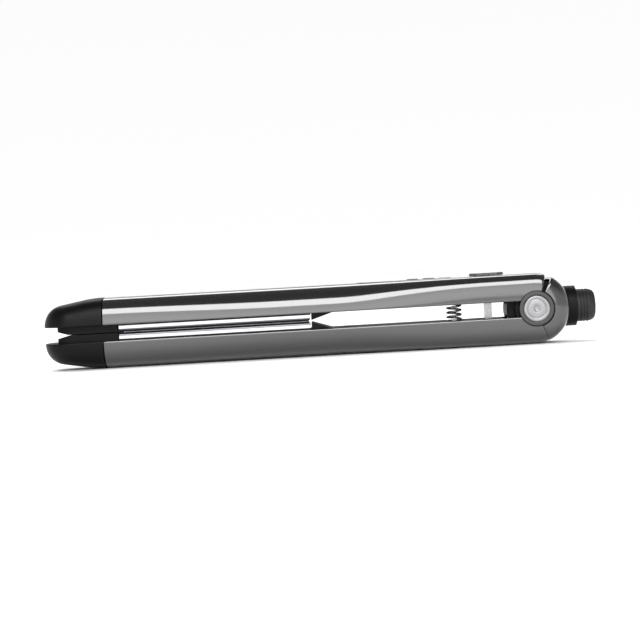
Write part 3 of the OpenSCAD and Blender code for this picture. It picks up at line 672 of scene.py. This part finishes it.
def disc_cutter(radius, near, far):
    """A round cutter about the hinge axis."""
    rings = []
    for y in (near, far):
        ring = []
        for i in range(CUT_STEPS):
            a = 2 * math.pi * i / CUT_STEPS
            ring.append(place(UPPER, HINGE_U + radius * math.cos(a), y, radius * math.sin(a)))
        rings.append(ring)
    return loft(rings)


def stadium(start, end, half, steps=20):
    """An outline with round ends."""
    out = []
    for centre, first in ((end - half, -90), (start + half, 90)):
        for i in range(steps + 1):
            a = math.radians(first + 180 * i / steps)
            out.append((centre + half * math.cos(a), half * math.sin(a)))
    return out


def nose_height(u):
    """A tip's height at a distance from its end."""
    slope = math.tan(math.radians(NOSE_SLOPE))
    touch = NOSE_R * (1 - math.sin(math.radians(NOSE_SLOPE)))
    top = NOSE_T + NOSE_R * math.cos(math.radians(NOSE_SLOPE))
    if u < touch:
        return NOSE_T + math.sqrt(max(NOSE_R ** 2 - (NOSE_R - u) ** 2, 0.0))
    line = top + (u - touch) * slope
    blend = 0.9
    return MID - soft_ramp(MID - line, blend) if line > MID - blend else line


def nose_half(u):
    """Half a tip's width at a distance from its end."""
    if u >= NOSE_PLAN:
        return HALF
    return HALF - NOSE_PLAN + math.sqrt(max(NOSE_PLAN ** 2 - (NOSE_PLAN - u) ** 2, 0.0))


def tip_section(half, height, trim):
    """Closed section of a tip: crown, rounded rim and flat inner face."""
    low = min(RIM + 0.6, height - 0.12)
    outer = crown_curve(half - trim, height - trim, power_at(0), low, 30)
    edge = outer[0][0]
    drop = low - RIM
    right = [(edge - 0.03 * edge / half, RIM + 0.55 * drop),
             (edge - min(0.16, 0.1 * edge), RIM + 0.2 * drop),
             (edge - min(0.5, 0.3 * edge), RIM)]
    return outer + [(-y, t) for y, t in right] + list(reversed(right))


def block_outline(inset):
    """Outline of the frame's raised nose, set in from the tip's edge, in (u, y)."""
    half, r, flat = HALF - inset, NOSE_PLAN - inset, HALF - NOSE_PLAN
    start = BLOCK_START - 0.12
    points = [(TIP_END + 4, -half), (TIP_END + 4, half)]
    steps = 24
    for i in range(steps + 1):
        a = math.radians(90 + 90 * i / steps)
        p = (NOSE_PLAN + r * math.cos(a), flat + r * math.sin(a))
        if p[0] > start:
            points.append(p)
    cross = flat + math.sqrt(r * r - (NOSE_PLAN - start) ** 2)
    points += [(start, cross), (start, -cross)]
    points += [(u, -y) for u, y in reversed(points[2:-2])]
    return points


def tip(side):
    """A cool tip, hollowed for the plate frame's nose block."""
    stations, steps = [], 30
    for i in range(steps):
        forward = 1 - math.cos(math.radians(90 * i / steps))
        stations.append((forward * NOSE_LENGTH + 0.004, 0.0))
    stations += [(NOSE_LENGTH + 0.8 * i, 0.0) for i in range(1, 8)]
    stations += [(TIP_END - 0.08, 0.08), (TIP_END, 0.28)]
    rings = [
        [place(side, u, y, t) for y, t in tip_section(nose_half(u), nose_height(u), trim)]
        for u, trim in stations
    ]
    obj = new_object(ARM[side] + "_tip_skin", loft(rings))
    cut(obj, prism(block_outline(BLOCK_INSET), 3.0, 13.2, side))
    finish_cut(obj)
    return dress(obj, "tip_plastic", BODY[side], (ARM[side] + "_tip",))


def tail():
    """The round end between the arms' shells, turned about the hinge axis."""
    rings = []
    rim, bend = 9.42, 9.7
    power = power_at(HINGE_U)
    first, last, steps = 29.5, 161.4, 60
    for i in range(steps + 1):
        lean = first + (last - first) * i / steps
        trim = 0.22 if i in (0, steps) else 0.0
        s, c = math.sin(math.radians(lean)), math.cos(math.radians(lean))
        outer = crown_curve(TAIL_HALF - trim, MID - trim, power, bend, 28)
        inner = crown_curve(TAIL_HALF - SIDE_WALL, MID - CROWN_WALL, power + 0.5, bend, 18)
        low = [(-outer[0][0] + 0.25, rim), (-inner[0][0] - 0.1, rim)]
        section = outer + low + list(reversed(inner)) + [(-y, t) for y, t in reversed(low)]
        rings.append([place(UPPER, HINGE_U + t * s, y, t * c) for y, t in section])
    obj = new_object("tail_skin", loft(rings))
    hole = []
    for u in (HINGE_U, LENGTH + 5):
        ring = []
        for i in range(CUT_STEPS):
            a = 2 * math.pi * i / CUT_STEPS
            ring.append(place(UPPER, u, NOZZLE_HOLE * math.cos(a), NOZZLE_HOLE * math.sin(a)))
        hole.append(ring)
    cut(obj, loft(hole))
    finish_cut(obj)
    return dress(obj, "gloss_shell", "lower_arm", ("tail_housing",))


for side in (UPPER, LOWER):
    shell(side)
    tip(side)
tail()

# ---------------------------------------------------------------- refined CAD pieces

def coat_plate(obj, side):
    """A plate's face and round edges are coated grey, its rim is bare, and its skirt is painted
    near black as shade under the shell's rim.
    """
    obj.data.materials.append(PLATE_SKIRT_SHADE)
    obj.data.materials.append(PLATE_COAT)
    for face in obj.data.polygons:
        t = side * (face.center.z / MM - MID)
        # Faces past the bare rim take the skirt's near black, which is painted shade under the
        # shell's rim.
        if t > PLATE_RIM_END or (t > PLATE_STEP and abs(face.normal.z) > 0.7):
            face.material_index = 1
        elif t < PLATE_RIM_START:
            face.material_index = 2


for side in (UPPER, LOWER):
    arm, body = ARM[side], BODY[side]
    refined(arm + "_plate_frame", body, "frame_plastic", 0.2)
    refined(arm + "_handle_cover", body, "cover_plastic", 0.3)
    rim = place(side, 0, 0, PLATE_RIM_END)
    plate = refined(arm + "_plate", arm + "_heat_plate", "plate_metal", 0.12, split=rim)
    coat_plate(plate, side)
    refined(arm + "_screws", body, "screw_steel", 0.12)
refined("hinge_bracket", "upper_arm", "bracket_steel", 0.25)
refined("hinge_core", "lower_arm", "frame_plastic", 0.15)
refined("control_panel", "upper_arm", "panel_plastic", 0.12)
refined("display_window", "upper_arm", "dark_glass", 0.12)
refined("lock_knob", "lock_slider", "button_plastic", 0.15, segments=3)
refined("lock_hook", "lock_slider", "spring_steel", 0.15)


# ---------------------------------------------------------------- turned pieces

def button(name, body, u, slot_name, mark):
    """A round key with a flange below the panel, a rounded rim and a shallow dish."""
    flange, flange_low, flange_top = 3.9, 15.6, 16.3
    edge, rim = 3.1, 18.9
    dish, dish_low, dish_rise = 2.2, 18.7, 0.05
    profile = [(0, flange_low), (flange, flange_low), (flange, flange_top), (edge, flange_top)]
    shoulder = [(edge, flange_top), (edge, rim), (2.45, rim), (2.3, 18.74)]
    profile += soften(shoulder, 0.28, 4, False)[1:]
    profile += [(r, dish_low + dish_rise * (r / dish) ** 2) for r in (2.1, 1.6, 1.1, 0.6, 0.0)]
    obj = lathe(name + "_cap", profile, place(UPPER, u, 0, 0), (0, 0, 1), 64)
    dress(obj, slot_name, body, (name,))
    marks(name + "_mark", body, u, mark)


def marks(name, body, u, mark):
    """A plain plus, minus or power sign, inlaid in the button."""
    bm = bmesh.new()

    def inlay(outline, turn=0.0, shift=0.0):
        """Adds one raised outline, drawn in a little along its top."""
        c, s = math.cos(turn), math.sin(turn)
        rings = []
        for inset, t in ((0.0, MARK_LOW), (0.0, MARK_TOP - 0.03), (0.04, MARK_TOP)):
            ring = []
            for a, b in outline:
                keep = 1 - inset / max(math.hypot(a, b), 0.2)
                a, b = a * keep, b * keep
                ring.append(place(UPPER, u + a * c - b * s + shift, a * s + b * c, t))
            rings.append(ring)
        skin(bm, rings)

    reach, half = 1.1, 0.21
    if mark == "minus":
        inlay(stadium(-reach, reach, half, 6), math.pi / 2)
    elif mark == "plus":
        inlay([(half, -reach), (half, -half), (reach, -half), (reach, half),
               (half, half), (half, reach), (-half, reach), (-half, half),
               (-reach, half), (-reach, -half), (-half, -half), (-half, -reach)])
    else:
        arc = []
        for radius, order in ((1.15, 1), (0.82, -1)):
            ring = [(radius * math.cos(math.radians(a)), radius * math.sin(math.radians(a)))
                    for a in range(40, 321, 10)]
            arc += ring[::order]
        inlay(arc)
        inlay(stadium(-0.55, 0.55, 0.17, 6), shift=0.95)
    obj = new_object(name, bm, 30)
    dress(obj, "power_plastic" if mark != "power" else "button_plastic", body)


button("power_button", "power_key", 212.0, "power_plastic", "power")
button("temp_up_button", "temp_up_key", 203.5, "button_plastic", "plus")
button("temp_down_button", "temp_down_key", 195.0, "button_plastic", "minus")


def hinge_caps():
    """The two side caps, each with a groove round its face and a dimple in its middle."""
    hub = place(UPPER, HINGE_U, 0, 0)
    edge, back, face = 6.9, 13.25, 14.8
    profile = [(0.0, back)] + soften([
        (0.0, back), (edge, back), (edge, 14.42), (6.45, face), (5.3, face), (5.15, 14.6),
        (4.7, 14.6), (4.55, face), (1.7, face), (1.3, 14.45), (0.0, 14.45)
    ], 0.12, 3, False)[1:]
    bm = bmesh.new()
    for way in (1, -1):
        one = lathe("cap", profile, hub, (0, way, 0), 80)
        bm.from_mesh(one.data)
        bpy.data.objects.remove(one)
    obj = new_object("hinge_cap_pair", bm)
    dress(obj, "cap_metal", "upper_arm", ("hinge_caps",))


hinge_caps()


def gland():
    """The swivel's grooved collar, its stem, its retaining disc and the cord's hole."""
    collar, groove, stem, disc, neck = 8.6, 8.15, 6.4, 8.2, 4.6
    cord_hole, wire_hole = 3.4, 2.2
    neck_start, cord_start, disc_start, disc_end, collar_start = 262.0, 266.0, 268.7, 270.7, 280.3
    outline = [(stem, collar_start), (collar, collar_start)]
    for start in (281.6, 283.2, 284.8):
        outline += [(collar, start), (groove, start + 0.12),
                    (groove, start + 0.62), (collar, start + 0.75)]
    outline += [(collar, 286.2), (8.15, 288.0), (7.5, 289.4), (6.6, LENGTH)]
    outline += [(4.2, LENGTH), (3.75, LENGTH - 0.15), (cord_hole, LENGTH - 0.7)]
    outline += [(cord_hole, cord_start), (wire_hole, cord_start), (wire_hole, neck_start)]
    outline += [(neck, neck_start), (neck, disc_start), (disc, disc_start), (disc, disc_end)]
    outline += [(stem, disc_end)]
    obj = lathe("swivel_collar", soften(outline, 0.16, 3), place(UPPER, 0, 0, 0), (1, 0, 0), 96)
    dress(obj, "swivel_rubber", "cord_swivel", ("swivel_gland",))


gland()


# ---------------------------------------------------------------- spring, wires and pads

def spring():
    """Compression spring with closed ends, set between the arms."""
    centre = place(UPPER, SPRING_U, 0, 0)
    radius, wire, turns, steps = 3.65, 0.55, 7, 40
    half_span = 10.0 - wire - 0.1
    rise = 2 * half_span
    closed = 2 * wire * 1.02
    total = turns + 2
    path = []
    for i in range(total * steps + 1):
        turn = i / steps
        if turn < 1:
            z = turn * closed
        elif turn > turns + 1:
            z = rise - (total - turn) * closed
        else:
            z = closed + (turn - 1) * (rise - 2 * closed) / turns
        a = 2 * math.pi * turn
        path.append(Vector((centre.x / MM + radius * math.cos(a), radius * math.sin(a),
                            centre.z / MM + z - half_span)))
    rings = []
    for i, p in enumerate(path):
        along = heading(path, i)
        across = along.cross(Vector((0, 0, 1))).normalized()
        rings.append(circle(p, across, across.cross(along), wire, 12))
    bm = bmesh.new()
    skin(bm, rings)
    obj = new_object("opening_spring_coil", bm, 50)
    low = place(LOWER, SPRING_U, 0, half_span + wire)
    high = place(UPPER, SPRING_U, 0, half_span + wire)
    dress(obj, "spring_steel", None, ("opening_spring",), (low, high))


spring()


def hinge_wires():
    """Four sleeved wires across the hinge."""
    route = [(252, 5.3), (248, 5.3), (245.5, 5.35), (243, 6.5), (240.5, 8.2), (236.5, 9.3),
             (232.1, 10.0)]
    bm = bmesh.new()
    for y in (3.2, 5.2, -3.2, -5.2):
        points = [Vector([c / MM for c in place(UPPER, u, y, t)]) for u, t in route]
        path = smooth_path(points, 6)
        across = Vector((0, 1, 0))
        rings = []
        for i, p in enumerate(path):
            along = heading(path, i)
            across = (across - along * across.dot(along)).normalized()
            rings.append(circle(p, across, along.cross(across), 0.78, 14))
        skin(bm, rings)
    obj = new_object("hinge_wire_set", bm, 50)
    start = place(UPPER, 247, 0, 6)
    end = place(UPPER, 236, 0, 9)
    dress(obj, "wire_sleeve", None, ("hinge_leads",), (start, end))


hinge_wires()


def pads(side):
    """The four silicone pads behind a plate."""
    bm = bmesh.new()
    inset, rail = 12.0, 8.5
    long, wide = 4, 1.1
    outline = soften([(-long, -wide), (long, -wide), (long, wide), (-long, wide)], 0.6, 4)
    levels = ((0.25, 8.62), (0.0, 8.9), (0.0, 9.6), (0.0, 11.1), (0.25, 11.38))
    for u in (PLATE_START + inset, PLATE_END - inset):
        for y in (rail, -rail):
            rings = []
            for shrink, t in levels:
                along, across = 1 - shrink / long, 1 - shrink / wide
                rings.append([place(side, u + a * along, y + b * across, t) for a, b in outline])
            skin(bm, rings)
    arm = ARM[side]
    obj = new_object(arm + "_pad_set", bm, 40)
    dress(obj, "silicone", BODY[side], (arm + "_float_pads",))
    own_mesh(obj)


for side in (UPPER, LOWER):
    pads(side)

# ---------------------------------------------------------------- CAD nodes that stay

SLOT_OF = {s["node"]: s["material_slot"] for s in frame["record"]["subparts"]}
replaced = {n for o in bpy.data.objects for n in o.get("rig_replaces", [])}
for node, obj in frame["nodes"].items():
    if node in replaced:
        continue
    obj.data.materials.clear()
    obj.data.materials.append(MATERIALS[SLOT_OF[node]])

# ---------------------------------------------------------------- floor, light and camera

def stage():
    """A white paper floor, a hair below the iron."""
    bm = bmesh.new()
    bmesh.ops.create_circle(bm, cap_ends=True, segments=96, radius=6.0)
    for v in bm.verts:
        v.co.z = -0.0001
    floor = new_object("floor", bm)
    m = Maker("floor_paper")
    m.colour(m.noise(3, 2), (0.77, 0.77, 0.77), (0.80, 0.80, 0.80))
    m.rough(m.noise(8, 2), 0.7, 0.8)
    m.bumps((m.noise(900, 2), 0.01))
    floor.data.materials.append(m.material)


def world():
    """A studio that is white at the horizon and below it, and dim overhead."""
    w = bpy.data.worlds.new("studio")
    bpy.context.scene.world = w
    w.use_nodes = True
    tree = w.node_tree
    tree.nodes.clear()
    coords = tree.nodes.new("ShaderNodeTexCoord")
    split = tree.nodes.new("ShaderNodeSeparateXYZ")
    ramp = tree.nodes.new("ShaderNodeValToRGB")
    back = tree.nodes.new("ShaderNodeBackground")
    out = tree.nodes.new("ShaderNodeOutputWorld")
    tree.links.new(coords.outputs["Generated"], split.inputs[0])
    tree.links.new(split.outputs["Z"], ramp.inputs["Fac"])
    tree.links.new(ramp.outputs["Color"], back.inputs["Color"])
    tree.links.new(back.outputs["Background"], out.inputs["Surface"])
    set_stops(ramp, [(0.0, 1.0), (0.2, 0.97), (0.5, 0.25), (1.0, 0.14)])
    back.inputs["Strength"].default_value = 1.0


def softbox(name, elevation, azimuth, distance, width, height, radiance):
    """A large soft light that faces the iron. Azimuth 0 is the camera's side."""
    light = bpy.data.lights.new(name, "AREA")
    light.shape = "RECTANGLE"
    light.size, light.size_y = width, height
    light.energy = radiance * math.pi * width * height
    obj = bpy.data.objects.new(name, light)
    e, a = math.radians(elevation), math.radians(azimuth)
    target = Vector((0, 0, MID * MM))
    out = Vector((math.sin(a) * math.cos(e), -math.cos(a) * math.cos(e), math.sin(e)))
    obj.location = target + out * distance
    obj.rotation_euler = out.to_track_quat("Z", "Y").to_euler()
    obj.visible_camera = False
    bpy.context.scene.collection.objects.link(obj)


def overhead(strength):
    """An even, very soft light from above that lights the whole floor alike."""
    light = bpy.data.lights.new("overhead", "SUN")
    light.energy, light.angle = strength, math.radians(60)
    obj = bpy.data.objects.new("overhead", light)
    obj.rotation_euler = (math.radians(-20), math.radians(-12), 0)
    obj.visible_glossy = False
    bpy.context.scene.collection.objects.link(obj)


def camera():
    """The photograph's direction: side on and a little above, with the iron rising to the right."""
    data = bpy.data.cameras.new("camera")
    data.lens, data.sensor_width = 85, 36
    obj = bpy.data.objects.new("camera", data)
    elevation, roll, distance = math.radians(2.0), math.radians(3.3), 0.80
    target = Vector((0.0, 0.0, MID * MM))
    out = Vector((0, -math.cos(elevation), math.sin(elevation)))
    obj.location = target + out * distance
    turn = out.to_track_quat("Z", "Y").to_matrix().to_4x4()
    obj.matrix_world = Matrix.Translation(obj.location) @ turn @ Matrix.Rotation(-roll, 4, "Z")
    bpy.context.scene.collection.objects.link(obj)
    bpy.context.scene.camera = obj


stage()
world()
softbox("overhead_strip", 39.5, 0, 1.2, 1.0, 0.50, 7.8)
softbox("front_panel", 14.5, 0, 1.8, 1.5, 0.86, 2.0)
softbox("back_strip", 40, 180, 1.4, 1.1, 0.35, 3.2)
overhead(3.6)
camera()
bpy.context.scene.view_settings.view_transform = "Standard"
